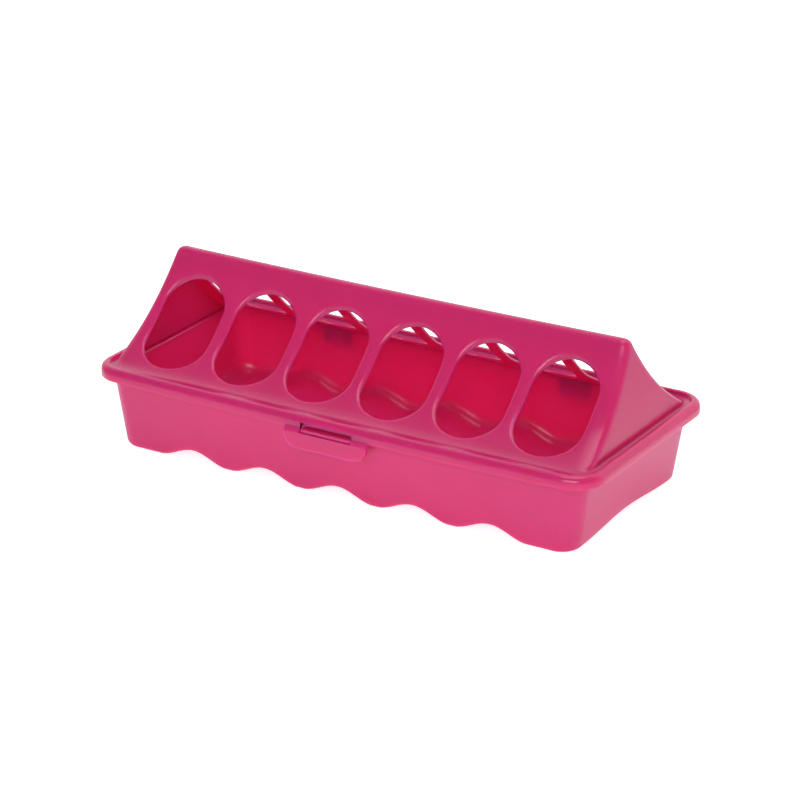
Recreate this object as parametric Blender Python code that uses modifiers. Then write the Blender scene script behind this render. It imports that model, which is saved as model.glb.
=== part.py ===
"""Chick feed trough: a wavy-bottomed tray under a tent-shaped lid with feeding holes.

The lid swings up on two clip hinges at the back and is held shut at the front by
a springy tab that hooks under a catch on the tray. Metres, +Z up, front at -Y,
origin on the ground at the middle of the trough.
"""

import math

import bmesh
import bpy

# Tray: outside sizes just under the rim, draft down to its foot, its wall and its flange
TRAY_LENGTH = 0.2896
TRAY_WIDTH = 0.1230
TRAY_HEIGHT = 0.0423
TRAY_END_DRAFT = 0.0063
TRAY_SIDE_DRAFT = 0.0016
TRAY_WALL = 0.0020
TRAY_CORNER_RADIUS = 0.0111
TRAY_FOOT_ROUND = 0.0040
FLANGE_REACH = 0.0030
FLANGE_ROUND = 0.0008
SIDE_BOW = 0.0025

# Waves of the tray's underside, and the wide arch across it between its corner pads
WAVE_HEIGHT = 0.0059
END_ARCH_HEIGHT = 0.0029
WAVE_PAD_WIDTH = 0.0060
CORNER_PAD_WIDTH = 0.0080
WAVE_STEPS = 8

# Lid: moulded wall, and the rim bead that covers the tray's flange
LID_WALL = 0.0020
RIM_CLEARANCE = 0.0004
SEAT_GAP = 0.0003
SKIRT_DROP = 0.0030
BEAD_RADIUS = 0.0032
BEAD_RISE = 0.0016

# Lid: the gutter inside the bead, and the tent that rises from it
GUTTER_INSET_AT_SIDE = 0.0076
GUTTER_INSET_AT_END = 0.0054
RIM_END_ROOM = 0.0020
GUTTER_WIDTH = 0.0012
TENT_SIDE_LEDGE = 0.0074
TENT_END_LEDGE = 0.0020
TENT_FOOT_RISE = 0.0021
TENT_CORNER_RADIUS = 0.0060
RIDGE_HEIGHT = 0.0965
RIDGE_END_LEAN = 0.0062
RIDGE_WIDTH = 0.0060
RIDGE_CROWN = 0.0007
RIDGE_SAG = 0.0010
FACE_CONTROL_SHARES = (0.391, 0.331)
FACE_STEP_SHARES = (1.0, 0.86, 0.72, 0.58, 0.44, 0.30, 0.16, 0.07, 0.0)

# Feeding places: holes cut straight down through the tent's sloping faces
PLACES = 6
PLACES_END_MARGIN = 0.0080
FRONT_ROW_SHIFT = -0.0015
HOLE_WEB = 0.0076
HOLE_BOTTOM_MARGIN = 0.0006
HOLE_TOP_MARGIN = 0.0057
HOLE_TOP_ROUND = 0.0120
HOLE_BOTTOM_ROUND = 0.0155
HOLE_STEPS = 10

# Rear hinges: lugs and a bar on the tray, a clip strap on the lid
HINGE_SPACING = 0.1500
HINGE_DROP = 0.0068
HINGE_WALL_GAP = 0.0005
BAR_RADIUS = 0.0016
BAR_CLEARANCE = 0.0003
STRAP_THICKNESS = 0.0018
STRAP_WIDTH = 0.0120
STRAP_SIDE_GAP = 0.0005
STRAP_BITE = 0.0007
STRAP_TOP_RISE = 0.0010
STRAP_END_ANGLE = -115
LUG_THICKNESS = 0.0025
LUG_ROUND = 0.0030
LUG_FRONT_ANGLE = 60

# Front latch: tab on the lid, catch on the tray
TAB_WIDTH = 0.0500
TAB_THICKNESS = 0.0020
TAB_LENGTH = 0.0150
TAB_CORNER_RADIUS = 0.0075
TAB_ROOT_RISE = 0.0012
TAB_SHOULDER = 0.0024
WINDOW_WIDTH = 0.0312
WINDOW_SILL = 0.0085
CATCH_HEIGHT = 0.0018
CATCH_GRIP = 0.0010
CATCH_ROUND = 0.0005
LATCH_GAP = 0.0003

# Fineness of the curves, how deep a root is sunk, and how far a cutter runs on
CORNER_STEPS = 5
SIDE_STEPS = 14
ARCH_STEPS = 6
LID_END_STEPS = 2
ARC_STEPS = 6
ROOT_DEPTH = 0.0010
OVERRUN = 0.0030
WELD_DISTANCE = 0.00002

# Levels that several pieces share
FLANGE_UNDERSIDE = TRAY_HEIGHT - TRAY_WALL
SKIRT_BOTTOM = TRAY_HEIGHT - SKIRT_DROP
GUTTER_LEVEL = TRAY_HEIGHT + SEAT_GAP + LID_WALL
BEAD_TOP = GUTTER_LEVEL + BEAD_RISE
BEAD_CENTRE = BEAD_TOP - BEAD_RADIUS
TENT_FOOT_LEVEL = GUTTER_LEVEL + TENT_FOOT_RISE
HINGE_LEVEL = FLANGE_UNDERSIDE - HINGE_DROP

# The tray's foot, outside
TRAY_FOOT_LENGTH = TRAY_LENGTH - 2 * TRAY_END_DRAFT
TRAY_FOOT_WIDTH = TRAY_WIDTH - 2 * TRAY_SIDE_DRAFT

# The arch under the tray's ends spans the width between the flat pads at the corners
PAD_EDGE = TRAY_FOOT_WIDTH / 2 - TRAY_FOOT_ROUND
ARCH_HALF_SPAN = PAD_EDGE - CORNER_PAD_WIDTH

# The lid's rim, outside, and the gutter's middle, as half sizes
RIM_GROWTH = FLANGE_REACH + RIM_CLEARANCE + LID_WALL
RIM_HALF_LENGTH = TRAY_LENGTH / 2 + RIM_GROWTH + RIM_END_ROOM
RIM_HALF_WIDTH = TRAY_WIDTH / 2 + RIM_GROWTH
RIM_CORNER_RADIUS = TRAY_CORNER_RADIUS + RIM_GROWTH
RIM_FACE = RIM_HALF_WIDTH + SIDE_BOW
GUTTER_HALF_LENGTH = RIM_HALF_LENGTH - GUTTER_INSET_AT_END
GUTTER_HALF_WIDTH = RIM_HALF_WIDTH - GUTTER_INSET_AT_SIDE

# The tent stands inside the gutter, and the feeding places share out its length:
# the holes in the lid and the waves of the tray have one pitch
TENT_FOOT_LENGTH = 2 * (GUTTER_HALF_LENGTH - TENT_END_LEDGE)
TENT_FOOT_WIDTH = 2 * (GUTTER_HALF_WIDTH - TENT_SIDE_LEDGE)
RIDGE_LENGTH = TENT_FOOT_LENGTH - 2 * RIDGE_END_LEAN
PLACE_PITCH = (TENT_FOOT_LENGTH - 2 * PLACES_END_MARGIN) / PLACES

# Each hinge bar stands off the tray's wall by the strap that turns behind it
STRAP_INNER_RADIUS = BAR_RADIUS + BAR_CLEARANCE
STRAP_OUTER_RADIUS = STRAP_INNER_RADIUS + STRAP_THICKNESS
HINGE_WALL_FACE = (TRAY_WIDTH + SIDE_BOW) / 2
HINGE_AXIS = HINGE_WALL_FACE + HINGE_WALL_GAP + STRAP_OUTER_RADIUS

# The latch tab stands out in front as far as the hinge straps do at the back
TAB_FACE = HINGE_AXIS + STRAP_OUTER_RADIUS
TAB_BACK = TAB_FACE - TAB_THICKNESS
TAB_ROOT = BEAD_CENTRE + TAB_ROOT_RISE - LATCH_GAP
TAB_BOTTOM = TAB_ROOT - TAB_LENGTH
WINDOW_BOTTOM = TAB_BOTTOM + WINDOW_SILL


def lerp(low, high, share):
    return low + (high - low) * share


def arc(centre, radius, start, end, steps):
    """Points on a circle, from one angle in degrees to another."""
    points = []
    for step in range(steps + 1):
        angle = math.radians(lerp(start, end, step / steps))
        points.append((centre[0] + radius * math.cos(angle), centre[1] + radius * math.sin(angle)))
    return points


def even_shares(steps):
    """Evenly spaced shares of a half length, from +1 down to -1."""
    return [1 - 2 * step / steps for step in range(steps + 1)]


def rounded_ring(half_length, half_width, radius, side_shares, end_shares, bow=0.0):
    """Rounded rectangle in plan, anticlockwise from the -Y end of its +X end.

    The shares place the points along the sides and the ends. The long sides swell
    outwards by bow at their middle.
    """
    radius = min(radius, half_width, half_length)
    run, rise = half_length - radius, half_width - radius
    end = [(half_length, -rise * share) for share in end_shares]
    corner = arc((run, rise), radius, 0, 90, CORNER_STEPS)[1:]
    side = [(run * share, half_width) for share in side_shares[1:-1]]
    far_corner = [(-x, y) for x, y in reversed(corner)]
    half = end + corner + side + far_corner
    ring = half + [(-x, -y) for x, y in half]
    swell = [bow * (1 - (x / half_length) ** 2) * y / half_width for x, y in ring]
    return [(x, y + s) for (x, y), s in zip(ring, swell)]


def loft(name, rings, end_shares, level_at, upwards):
    """Open surface through rings of equal count, closed over the last one by a grid.

    The grid's columns run from side to side of the ring. level_at gives the height
    of a point of the grid. The rings run upwards or downwards on the outside.
    """
    shape = bmesh.new()
    rows = [[shape.verts.new(point) for point in ring] for ring in rings]
    count = len(rows[0])
    end_steps = len(end_shares) - 1

    def face(corners):
        shape.faces.new(corners if upwards else corners[::-1])

    for outer, inner in zip(rows, rows[1:]):
        for i in range(count):
            j = (i + 1) % count
            face([outer[i], outer[j], inner[j], inner[i]])
    last = rows[-1]
    far_side = last[end_steps:count // 2 + 1]
    near_side = [last[0]] + last[:count // 2 + end_steps - 1:-1]
    columns = [last[:end_steps + 1]]
    for far, near in list(zip(far_side, near_side))[1:-1]:
        column = [near]
        for share in end_shares[1:-1]:
            middle = near.co.lerp(far.co, (1 - share) / 2)
            column.append(shape.verts.new((middle.x, middle.y, level_at(middle.x, middle.y))))
        columns.append(column + [far])
    columns.append(last[count // 2 + end_steps:count // 2 - 1:-1])
    for column, following in zip(columns, columns[1:]):
        for i in range(end_steps):
            face([column[i], column[i + 1], following[i + 1], following[i]])
    mesh = bpy.data.meshes.new(name)
    shape.to_mesh(mesh)
    shape.free()
    return mesh


def new_object(name, mesh, collection):
    thing = bpy.data.objects.new(name, mesh)
    collection.objects.link(thing)
    return thing


def finish(thing, material):
    thing.data.materials.append(material)
    thing.data.shade_smooth()
    thing.data.set_sharp_from_angle(angle=math.radians(40))


def prism(name, outline, half_depth, axis, collection):
    """Closed mesh of a flat outline, given thickness along X, Y or Z.

    The outline is in (Y, Z) for X, in (X, Z) for Y and in (X, Y) for Z.
    """
    curve = bpy.data.curves.new(name, "CURVE")
    curve.dimensions = "2D"
    curve.fill_mode = "BOTH"
    curve.extrude = half_depth
    spline = curve.splines.new("POLY")
    spline.points.add(len(outline) - 1)
    for point, place in zip(spline.points, outline):
        point.co = (*place, 0, 1)
    spline.use_cyclic_u = True
    guide = new_object(name + "_outline", curve, bpy.context.scene.collection)
    quarter = math.pi / 2
    guide.rotation_euler = {"X": (quarter, 0, quarter), "Y": (quarter, 0, 0), "Z": (0, 0, 0)}[axis]
    graph = bpy.context.evaluated_depsgraph_get()
    mesh = bpy.data.meshes.new_from_object(guide.evaluated_get(graph))
    mesh.transform(guide.matrix_world)
    bpy.data.objects.remove(guide)
    shape = bmesh.new()
    shape.from_mesh(mesh)
    bmesh.ops.remove_doubles(shape, verts=shape.verts, dist=WELD_DISTANCE)
    bmesh.ops.recalc_face_normals(shape, faces=shape.faces)
    shape.to_mesh(mesh)
    shape.free()
    mesh.name = name
    return new_object(name, mesh, collection)


def shift(thing, x=0.0, y=0.0, z=0.0):
    for vertex in thing.data.vertices:
        vertex.co.x += x
        vertex.co.y += y
        vertex.co.z += z


def mirror_across(thing, axis):
    mirror = thing.modifiers.new("other side", "MIRROR")
    mirror.use_axis = [name == axis for name in "XYZ"]
    mirror.use_mirror_merge = False
    return thing


def combine(thing, tool, operation):
    """Join, cut or keep the overlap of a piece with a hidden shape."""
    tool.hide_render = True
    tool.display_type = "WIRE"
    boolean = thing.modifiers.new(tool.name, "BOOLEAN")
    boolean.operation = operation
    boolean.object = tool
    boolean.solver = "EXACT"


def thicken(thing, thickness):
    solidify = thing.modifiers.new("wall", "SOLIDIFY")
    solidify.thickness = thickness
    solidify.offset = -1
    solidify.use_even_offset = True


def plastic(name, colour, roughness):
    material = bpy.data.materials.new(name)
    material.use_nodes = True
    shader = material.node_tree.nodes["Principled BSDF"]
    shader.inputs["Base Color"].default_value = (*colour, 1)
    shader.inputs["Roughness"].default_value = roughness
    shader.inputs["Metallic"].default_value = 0
    return material


def underside_level(x, y):
    """Height of the tray's underside: waves along the trough, an arch under each end."""
    swing = math.cos(math.pi * WAVE_PAD_WIDTH / PLACE_PITCH)
    phase = -1.0
    if abs(x) < (PLACES - 1) / 2 * PLACE_PITCH:
        phase = -math.cos(2 * math.pi * (x / PLACE_PITCH + (PLACES - 1) / 2))
    wave = max(0.0, (phase + swing) / (1 + swing))
    arch = (1 + math.cos(math.pi * min(abs(y) / ARCH_HALF_SPAN, 1))) / 2
    return WAVE_HEIGHT * wave + END_ARCH_HEIGHT * arch * (1 - wave)


def tray_half_sizes(level):
    """Outside half length and half width of the tray's wall at a height."""
    share = level / FLANGE_UNDERSIDE
    length = lerp(TRAY_FOOT_LENGTH, TRAY_LENGTH, share)
    width = lerp(TRAY_FOOT_WIDTH, TRAY_WIDTH, share)
    return length / 2, width / 2


def tray_side_shares():
    """Places of the points along the tray's long sides, closer together over the waves."""
    reach = (PLACES - 1) / 2 * PLACE_PITCH / (TRAY_FOOT_LENGTH / 2 - TRAY_CORNER_RADIUS)
    return [1.0] + [reach * share for share in even_shares((PLACES - 1) * WAVE_STEPS)] + [-1.0]


def tray_end_shares():
    """Places of the points across the tray: the arch, and a flat pad on either side."""
    return [1.0] + [ARCH_HALF_SPAN / PAD_EDGE * share for share in even_shares(ARCH_STEPS)] + [-1.0]


def tray_ring(level, growth=0.0, bow=0.0, follows_waves=False):
    """One contour of the tray's outside, level or lifted by the waves of its underside."""
    half_length, half_width = tray_half_sizes(level)
    ring = rounded_ring(half_length + growth, half_width + growth, TRAY_CORNER_RADIUS + growth,
                        tray_side_shares(), tray_end_shares(), bow)
    return [(x, y, level + (underside_level(x, y) if follows_waves else 0)) for x, y in ring]


def make_tray(parts, tools, material):
    wall_top = FLANGE_UNDERSIDE - FLANGE_ROUND
    rings = [
        tray_ring(FLANGE_UNDERSIDE, FLANGE_REACH, SIDE_BOW),
        tray_ring(FLANGE_UNDERSIDE, FLANGE_ROUND, SIDE_BOW / 2),
        tray_ring(wall_top, 0, SIDE_BOW / 2),
        tray_ring(wall_top / 2, 0, SIDE_BOW / 4),
    ]
    for turn in (0, 30, 60, 90):
        angle = math.radians(turn)
        rise = TRAY_FOOT_ROUND * (1 - math.sin(angle))
        rings.append(tray_ring(rise, TRAY_FOOT_ROUND * (math.cos(angle) - 1), 0, True))
    tray = new_object("tray", loft("tray", rings, tray_end_shares(), underside_level, False), parts)
    finish(tray, material)
    thicken(tray, TRAY_WALL)
    for tool in (hinge_lugs(tools, "outer"), hinge_lugs(tools, "inner"), hinge_bars(tools), catch(tools)):
        combine(tray, tool, "UNION")


def hinge_lugs(tools, side):
    """A pair of lugs that carry the hinge bars, rooted in the tray's wall and flange."""
    root = tray_half_sizes(HINGE_LEVEL)[1] - ROOT_DEPTH / 2
    top = FLANGE_UNDERSIDE + ROOT_DEPTH / 2
    shoulder = HINGE_AXIS - LUG_ROUND / 3
    outline = [(root, HINGE_LEVEL - LUG_ROUND)]
    outline += arc((HINGE_AXIS, HINGE_LEVEL), LUG_ROUND, -90, LUG_FRONT_ANGLE, ARC_STEPS)
    outline += [(shoulder, FLANGE_UNDERSIDE - LUG_ROUND / 2), (shoulder, top), (root, top)]
    lug = prism("hinge_lugs_" + side, outline, LUG_THICKNESS / 2, "X", tools)
    reach = (STRAP_WIDTH + LUG_THICKNESS) / 2 + STRAP_SIDE_GAP
    shift(lug, x=HINGE_SPACING / 2 + (reach if side == "outer" else -reach))
    return mirror_across(lug, "X")


def hinge_bars(tools):
    """Round bars between the lugs, each running half way into them."""
    shape = bmesh.new()
    length = STRAP_WIDTH + 2 * STRAP_SIDE_GAP + LUG_THICKNESS
    bmesh.ops.create_cone(shape, cap_ends=True, segments=3 * ARC_STEPS, radius1=BAR_RADIUS,
                          radius2=BAR_RADIUS, depth=length)
    mesh = bpy.data.meshes.new("hinge_bars")
    shape.to_mesh(mesh)
    shape.free()
    for vertex in mesh.vertices:
        vertex.co = (vertex.co.z, vertex.co.y, -vertex.co.x)
    bars = new_object("hinge_bars", mesh, tools)
    shift(bars, HINGE_SPACING / 2, HINGE_AXIS, HINGE_LEVEL)
    return mirror_across(bars, "X")


def catch(tools):
    """Ledge on the tray's front wall that the latch tab hooks under."""
    root = ROOT_DEPTH / 2 - tray_half_sizes(WINDOW_BOTTOM)[1]
    inside = FLANGE_UNDERSIDE + ROOT_DEPTH / 2
    bottom = WINDOW_BOTTOM + LATCH_GAP
    top = bottom + CATCH_HEIGHT
    tip = -(TAB_BACK + CATCH_GRIP)
    outline = [
        (root, bottom - CATCH_HEIGHT),
        (LATCH_GAP - TAB_BACK, bottom),
        (tip + CATCH_ROUND, bottom),
        (tip, bottom + CATCH_ROUND),
        (tip, top - CATCH_ROUND),
        (tip + CATCH_ROUND, top),
        (root - FLANGE_REACH, top),
        (root - FLANGE_REACH, inside),
        (root, inside),
    ]
    return prism("catch", outline, WINDOW_WIDTH / 2 - 2 * LATCH_GAP, "X", tools)


def tent_face(share):
    """Half width and height on the tent's hollow face, from its foot (1) to the ridge (0)."""
    foot = (TENT_FOOT_WIDTH / 2, TENT_FOOT_LEVEL)
    top = (RIDGE_WIDTH / 2, RIDGE_HEIGHT - RIDGE_CROWN)
    control = (lerp(top[0], foot[0], FACE_CONTROL_SHARES[0]), lerp(foot[1], top[1], FACE_CONTROL_SHARES[1]))
    rest = 1 - share
    return [rest ** 2 * a + 2 * rest * share * b + share ** 2 * c for a, b, c in zip(top, control, foot)]


def lid_ring(half_length, half_width, radius, level, bow=0.0):
    ring = rounded_ring(half_length, half_width, radius, even_shares(SIDE_STEPS),
                        even_shares(LID_END_STEPS), bow)
    return [(x, y, level) for x, y in ring]


def rim_ring(inset, level):
    half_length, half_width = RIM_HALF_LENGTH - inset, RIM_HALF_WIDTH - inset
    return lid_ring(half_length, half_width, RIM_CORNER_RADIUS - inset, level, SIDE_BOW)


def ridge_sag(x, climb):
    """How far the tent hangs down in the middle of its length, most at the ridge."""
    return RIDGE_SAG * climb ** 2 * max(0.0, 1 - (2 * x / RIDGE_LENGTH) ** 2)


def tent_ring(share):
    """Contour of the tent. Its end walls lean in a little towards the ridge."""
    half_width, level = tent_face(share)
    climb = (level - TENT_FOOT_LEVEL) / (RIDGE_HEIGHT - TENT_FOOT_LEVEL)
    half_length = lerp(TENT_FOOT_LENGTH, RIDGE_LENGTH, climb) / 2
    ring = lid_ring(half_length, half_width, TENT_CORNER_RADIUS, level)
    return [(x, y, z - ridge_sag(x, climb)) for x, y, z in ring]


def lid_rings():
    """Contours of the lid's outside, from the skirt's lower edge over the bead to the ridge."""
    rings = [rim_ring(0, SKIRT_BOTTOM)]
    for turn in (0, 30, 60, 90):
        angle = math.radians(turn)
        inset = BEAD_RADIUS * (1 - math.cos(angle))
        rings.append(rim_ring(inset, BEAD_CENTRE + BEAD_RADIUS * math.sin(angle)))
    gutter_radius = RIM_CORNER_RADIUS - GUTTER_INSET_AT_SIDE
    outer_gutter = (GUTTER_HALF_LENGTH + GUTTER_WIDTH / 2, GUTTER_HALF_WIDTH + GUTTER_WIDTH / 2)
    rings.append(lid_ring(*outer_gutter, gutter_radius, GUTTER_LEVEL, SIDE_BOW / 2))
    rings.append(lid_ring(GUTTER_HALF_LENGTH - GUTTER_WIDTH / 2, GUTTER_HALF_WIDTH - GUTTER_WIDTH / 2,
                          gutter_radius, GUTTER_LEVEL, SIDE_BOW / 4))
    return rings + [tent_ring(share) for share in FACE_STEP_SHARES]


def ridge_level(x, y):
    """The ridge is crowned: highest along its middle."""
    return RIDGE_HEIGHT - RIDGE_CROWN * (2 * y / RIDGE_WIDTH) ** 2 - ridge_sag(x, 1)


def hole_cutter(tools, place, side):
    """Upright cutter for one feeding hole, on the front (-1) or the back (+1) face."""
    half = (PLACE_PITCH - HOLE_WEB) / 2
    bottom = TENT_FOOT_WIDTH / 2 - HOLE_BOTTOM_MARGIN
    top = RIDGE_WIDTH / 2 + HOLE_TOP_MARGIN
    outline = []
    for x, y in arc((0, 0), 1, 0, 180, HOLE_STEPS):
        outline.append((half * x, bottom - HOLE_BOTTOM_ROUND * (1 - y)))
    for x, y in arc((0, 0), 1, 180, 360, HOLE_STEPS):
        outline.append((half * x, top + HOLE_TOP_ROUND * (1 + y)))
    outline = [(x, y * side) for x, y in outline]
    height = RIDGE_HEIGHT + OVERRUN - FLANGE_UNDERSIDE
    face = "front" if side < 0 else "back"
    cutter = prism(f"hole_{face}_{place}", outline, height / 2, "Z", tools)
    middle = (place - (PLACES + 1) / 2) * PLACE_PITCH
    if face == "front":
        middle += FRONT_ROW_SHIFT
    shift(cutter, x=middle, z=FLANGE_UNDERSIDE + height / 2)
    return cutter


def latch_notch(tools):
    """Clears the lid's skirt where the latch tab hangs."""
    half = TAB_WIDTH / 2 + LATCH_GAP
    low, high = SKIRT_BOTTOM - OVERRUN, TAB_ROOT + LATCH_GAP
    outline = [(-half, low), (half, low), (half, high), (-half, high)]
    cutter = prism("latch_notch", outline, OVERRUN, "Y", tools)
    shift(cutter, y=-(RIM_FACE - LID_WALL - RIM_CLEARANCE / 2 + OVERRUN))
    return cutter


def hinge_straps(tools):
    """Clip straps that hang from the lid's skirt and hook round the tray's hinge bars."""
    axis = (HINGE_AXIS, HINGE_LEVEL)
    rim_here = RIM_HALF_WIDTH + SIDE_BOW * (1 - (HINGE_SPACING / 2 / RIM_HALF_LENGTH) ** 2)
    top = BEAD_CENTRE + STRAP_TOP_RISE
    outline = arc(axis, STRAP_OUTER_RADIUS, STRAP_END_ANGLE, 0, 2 * ARC_STEPS)
    outline += [
        (HINGE_AXIS + STRAP_OUTER_RADIUS, BEAD_CENTRE),
        (rim_here - STRAP_BITE, top),
        (rim_here - 2 * STRAP_BITE, top - STRAP_BITE),
        (rim_here - 2 * STRAP_BITE, SKIRT_BOTTOM + STRAP_BITE),
    ]
    outline += arc(axis, STRAP_INNER_RADIUS, 90, STRAP_END_ANGLE, 2 * ARC_STEPS)
    strap = prism("hinge_straps", outline, STRAP_WIDTH / 2, "X", tools)
    shift(strap, x=HINGE_SPACING / 2)
    return mirror_across(strap, "X")


def make_lid(parts, tools, material):
    end_shares = even_shares(LID_END_STEPS)
    lid = new_object("lid", loft("lid", lid_rings(), end_shares, ridge_level, True), parts)
    finish(lid, material)
    thicken(lid, LID_WALL)
    for side in (-1, 1):
        for place in range(1, PLACES + 1):
            combine(lid, hole_cutter(tools, place, side), "DIFFERENCE")
    combine(lid, latch_notch(tools), "DIFFERENCE")
    combine(lid, hinge_straps(tools), "UNION")
    move_origin(lid, HINGE_AXIS, HINGE_LEVEL)


def make_latch_tab(parts, tools, material):
    """Tab with a window: the bar below the window hooks under the tray's catch."""
    shoulder = TAB_ROOT - TAB_SHOULDER
    section = [
        (-RIM_FACE, TAB_ROOT),
        (-TAB_FACE, shoulder),
        (-TAB_FACE, TAB_BOTTOM),
        (-TAB_BACK, TAB_BOTTOM),
        (-TAB_BACK, shoulder),
        (TAB_THICKNESS - RIM_FACE, TAB_ROOT),
    ]
    tab = prism("latch_tab", section, TAB_WIDTH / 2, "X", parts)
    finish(tab, material)
    half, window = TAB_WIDTH / 2, WINDOW_WIDTH / 2
    turn, low = half - TAB_CORNER_RADIUS, TAB_BOTTOM + TAB_CORNER_RADIUS
    top = TAB_ROOT + OVERRUN
    outline = arc((-turn, low), TAB_CORNER_RADIUS, 180, 270, ARC_STEPS)
    outline += arc((turn, low), TAB_CORNER_RADIUS, 270, 360, ARC_STEPS)
    outline += [(half, top), (window, top), (window, WINDOW_BOTTOM)]
    outline += [(-window, WINDOW_BOTTOM), (-window, top), (-half, top)]
    shape = prism("tab_outline_cutter", outline, TAB_THICKNESS + OVERRUN, "Y", tools)
    shift(shape, y=-TAB_BACK)
    combine(tab, shape, "INTERSECT")
    move_origin(tab, -RIM_FACE, TAB_ROOT)


def move_origin(thing, y, z):
    """Put a moving piece's origin on its joint's axis and leave the piece in place."""
    shift(thing, y=-y, z=-z)
    thing.location = (0, y, z)


def main():
    for thing in list(bpy.data.objects):
        bpy.data.objects.remove(thing)
    parts = bpy.data.collections.new("feed_trough")
    tools = bpy.data.collections.new("cutters")
    for collection in (parts, tools):
        bpy.context.scene.collection.children.link(collection)
    make_tray(parts, tools, plastic("tray plastic", (0.62, 0.065, 0.20), 0.38))
    make_lid(parts, tools, plastic("lid plastic", (0.58, 0.045, 0.17), 0.32))
    make_latch_tab(parts, tools, plastic("tab plastic", (0.60, 0.055, 0.18), 0.34))
    for tool in tools.objects:
        tool.hide_render = True


main()
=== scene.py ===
"""The looks of the chick feed trough: fine moulded shells in glossy crimson plastic.

Metres, in the frame of the part: +X along the trough, -Y towards the front, +Z up.
"""

import math
from collections import Counter

import bmesh
import bpy
import numpy as np
from mathutils import Matrix, Vector


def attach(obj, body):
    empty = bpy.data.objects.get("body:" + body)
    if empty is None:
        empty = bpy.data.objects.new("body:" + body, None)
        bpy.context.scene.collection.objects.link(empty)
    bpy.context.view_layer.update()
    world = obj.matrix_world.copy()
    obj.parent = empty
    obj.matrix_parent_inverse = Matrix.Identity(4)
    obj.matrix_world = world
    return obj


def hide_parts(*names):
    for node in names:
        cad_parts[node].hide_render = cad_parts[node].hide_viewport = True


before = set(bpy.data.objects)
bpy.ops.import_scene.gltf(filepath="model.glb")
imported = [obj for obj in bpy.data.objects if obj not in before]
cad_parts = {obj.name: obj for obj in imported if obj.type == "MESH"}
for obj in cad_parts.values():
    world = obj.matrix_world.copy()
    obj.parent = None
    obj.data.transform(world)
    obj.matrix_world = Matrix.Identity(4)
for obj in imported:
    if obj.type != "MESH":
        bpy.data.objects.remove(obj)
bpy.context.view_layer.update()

# Camera, fitted to the outline in the photograph
CAMERA_PLACE = (0.81862, -1.32737, 0.67713)
CAMERA_AZIMUTH = 31.59
CAMERA_ELEVATION = 22.40
CAMERA_ROLL = -0.20
CAMERA_LENS = 143.13
SENSOR_WIDTH = 36.0

# Tray
TRAY_LENGTH = 0.2896
TRAY_WIDTH = 0.1230
TRAY_HEIGHT = 0.0423
TRAY_END_DRAFT = 0.0063
TRAY_SIDE_DRAFT = 0.0016
TRAY_WALL = 0.0020
TRAY_CORNER_RADIUS = 0.0111
TRAY_FOOT_ROUND = 0.0030
TRAY_INNER_ROUND = 0.0080
FLANGE_REACH = 0.0030
FLANGE_ROUND = 0.0008
FLANGE_EDGE_ROUND = 0.0004
MOUTH_ROUND = 0.0012
SIDE_BOW = 0.0025
WAVE_HEIGHT = 0.0059
END_ARCH_HEIGHT = 0.0029
WAVE_PAD_WIDTH = 0.0060
CORNER_PAD_WIDTH = 0.0080
PART_OVERLAP = 0.0005

# Lid
LID_WALL = 0.0020
RIM_CLEARANCE = 0.0004
SEAT_GAP = 0.0003
SKIRT_DROP = 0.0030
EDGE_ROUND = 0.0005
BEAD_RADIUS = 0.0037
BEAD_RISE = 0.0016
BEAD_SIDE_DROP = 0.0032
CREST_REACH = 0.0017
GUTTER_INSET_AT_SIDE = 0.0076
GUTTER_INSET_AT_END = 0.0054
RIM_END_ROOM = 0.0020
TENT_SIDE_LEDGE = 0.0074
TENT_END_LEDGE = 0.0020
TENT_FOOT_RISE = 0.0021
TENT_CORNER_RADIUS = 0.0050
TENT_END_FILLET = 0.0014
TENT_BOW_SHARE = 0.3
RIDGE_HEIGHT = 0.0965
RIDGE_END_LEAN = 0.0062
RIDGE_ROUND = 0.0044
RIDGE_END_ROUND = 0.0045
RIDGE_SAG = 0.0010
CROWN_GAP = 0.0002
FACE_TOP = (0.0030, 0.0959)
FACE_CONTROL = (0.0221, 0.0632)

# How the bead turns down into the gutter: reach and rise of its outer skin, then of its inner one
BEAD_CREST = (
    (0.00040, 0.0, 0.0003, 0.0),
    (0.00080, -0.0001, 0.0005, -0.0002),
    (0.00105, -0.0004, 0.0007, -0.0007),
    (0.00125, -0.0009, 0.0010, -0.0011),
    (0.00145, -0.0013, 0.0013, -0.0014),
    (CREST_REACH, -BEAD_RISE, CREST_REACH, -BEAD_RISE),
)

# Feeding holes
PLACES = 6
PLACES_END_MARGIN = 0.0080
FRONT_ROW_SHIFT = -0.0015
HOLE_WEB = 0.0076
HOLE_BOTTOM_MARGIN = 0.0006
HOLE_TOP = 0.0087
HOLE_TOP_ROUND = 0.0120
HOLE_BOTTOM_ROUND = 0.0155
HOLE_FRAME = 0.0033
HOLE_SIDE_ROUND = 0.0024
HOLE_END_ROUND = 0.0010
HOLE_EDGE_DROP = 0.0017
HOLE_INNER_ROUND = 0.0004

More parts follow.
